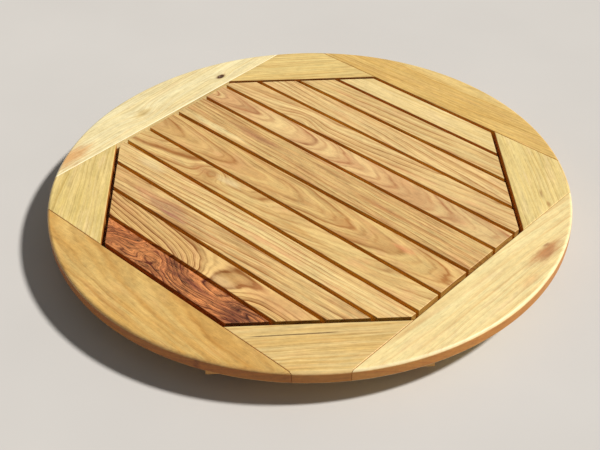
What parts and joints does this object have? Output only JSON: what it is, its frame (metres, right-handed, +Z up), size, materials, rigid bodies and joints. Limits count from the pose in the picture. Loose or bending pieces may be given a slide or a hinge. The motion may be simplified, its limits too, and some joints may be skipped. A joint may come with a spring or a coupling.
{
  "type": "lazy susan turntable",
  "caption": "Round slatted wooden lazy susan: an octagonal field of boards in a segmented rim, spinning on a ring bearing over a small footed base.",
  "frame": {"origin": "on the spin axis, at the level of the surface that the feet stand on", "axes": "+Z up along the spin axis, +X along the slats, +Y across the slats"},
  "size_m": [0.762, 0.762, 0.057],
  "materials": {
    "rim_east_wood": "oiled",
    "rim_northeast_wood": "oiled",
    "rim_north_wood": "oiled",
    "rim_northwest_wood": "oiled",
    "rim_west_wood": "oiled",
    "rim_southwest_wood": "oiled",
    "rim_south_wood": "oiled",
    "rim_southeast_wood": "oiled",
    "slat_01_wood": "oiled",
    "slat_02_wood": "oiled",
    "slat_03_wood": "oiled",
    "slat_04_wood": "oiled",
    "slat_05_wood": "oiled",
    "slat_06_wood": "oiled",
    "slat_07_wood": "oiled",
    "slat_08_wood": "oiled",
    "slat_09_wood": "oiled",
    "slat_10_wood": "oiled",
    "slat_11_wood": "oiled",
    "slat_12_wood": "oiled",
    "cleat_wood": "oiled",
    "batten_wood": "bare planed wood",
    "screw_steel": "zinc plated",
    "bearing_aluminium": "satin",
    "ball_steel": "polished",
    "spacer_nylon": "satin",
    "base_plywood": "sealed plywood",
    "foot_rubber": "matt"
  },
  "bodies": {
    "base": {"base_board": "base_plywood", "rubber_feet": "foot_rubber", "foot_screws": "screw_steel", "base_screws": "screw_steel", "bearing_inner_ring": "bearing_aluminium"},
    "ball_ring": {"bearing_balls": "ball_steel", "bearing_spacers": "spacer_nylon"},
    "turntable": {"rim_east": "rim_east_wood", "rim_northeast": "rim_northeast_wood", "rim_north": "rim_north_wood", "rim_northwest": "rim_northwest_wood", "rim_west": "rim_west_wood", "rim_southwest": "rim_southwest_wood", "rim_south": "rim_south_wood", "rim_southeast": "rim_southeast_wood", "slat_01": "slat_01_wood", "slat_02": "slat_02_wood", "slat_03": "slat_03_wood", "slat_04": "slat_04_wood", "slat_05": "slat_05_wood", "slat_06": "slat_06_wood", "slat_07": "slat_07_wood", "slat_08": "slat_08_wood", "slat_09": "slat_09_wood", "slat_10": "slat_10_wood", "slat_11": "slat_11_wood", "slat_12": "slat_12_wood", "cleat_northeast": "cleat_wood", "cleat_northwest": "cleat_wood", "cleat_southwest": "cleat_wood", "cleat_southeast": "cleat_wood", "batten_west": "batten_wood", "batten_middle": "batten_wood", "batten_east": "batten_wood", "tie_east": "batten_wood", "tie_west": "batten_wood", "batten_screws": "screw_steel", "cleat_screws": "screw_steel", "ring_screws": "screw_steel", "bearing_outer_ring": "bearing_aluminium"}
  },
  "joints": [
    {"name": "turntable_spin", "type": "hinge", "parent": "base", "child": "turntable", "pos_m": [0, 0, 0.019], "axis": [0, 0, 1], "continuous": true},
    {"name": "ball_ring_orbit", "type": "hinge", "parent": "base", "child": "ball_ring", "pos_m": [0, 0, 0.019], "axis": [0, 0, 1], "continuous": true}
  ],
  "couplings": [
    {"joint": "ball_ring_orbit", "follows": "turntable_spin", "ratio": 0.5088}
  ]
}
